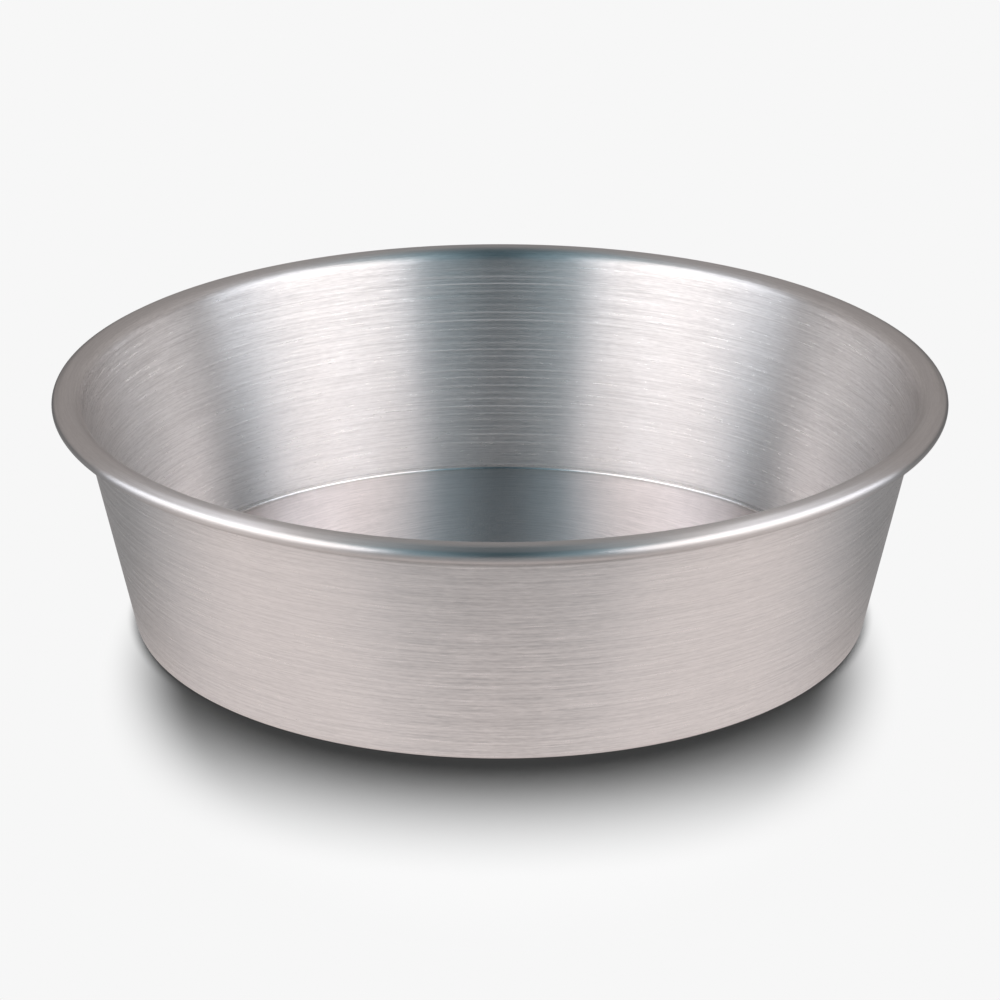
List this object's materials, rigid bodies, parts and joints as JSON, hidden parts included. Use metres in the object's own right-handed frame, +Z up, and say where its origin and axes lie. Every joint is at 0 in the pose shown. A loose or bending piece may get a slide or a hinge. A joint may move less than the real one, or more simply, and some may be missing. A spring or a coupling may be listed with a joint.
{
  "type": "cake pan",
  "caption": "Round, tapered aluminium cake pan with a rolled rim and a loose flat base that lifts up out of the wall ring.",
  "frame": {"origin": "centre of the foot, on the surface that the pan stands on", "axes": "+Z up along the pan's axis; +X and +Y are free to choose on a round pan"},
  "size_m": [0.255, 0.255, 0.07],
  "materials": {
    "spun_wall": "satin, with fine turning lines around the pan",
    "base_disc": "satin, with fine turning lines around the disc"
  },
  "bodies": {
    "pan": {"pan_wall": "spun_wall"},
    "base": {"loose_base": "base_disc"}
  },
  "joints": [
    {"name": "base_lift", "type": "slide", "parent": "pan", "child": "base", "axis": [0, 0, 1], "range_m": [0, 0.1]}
  ]
}
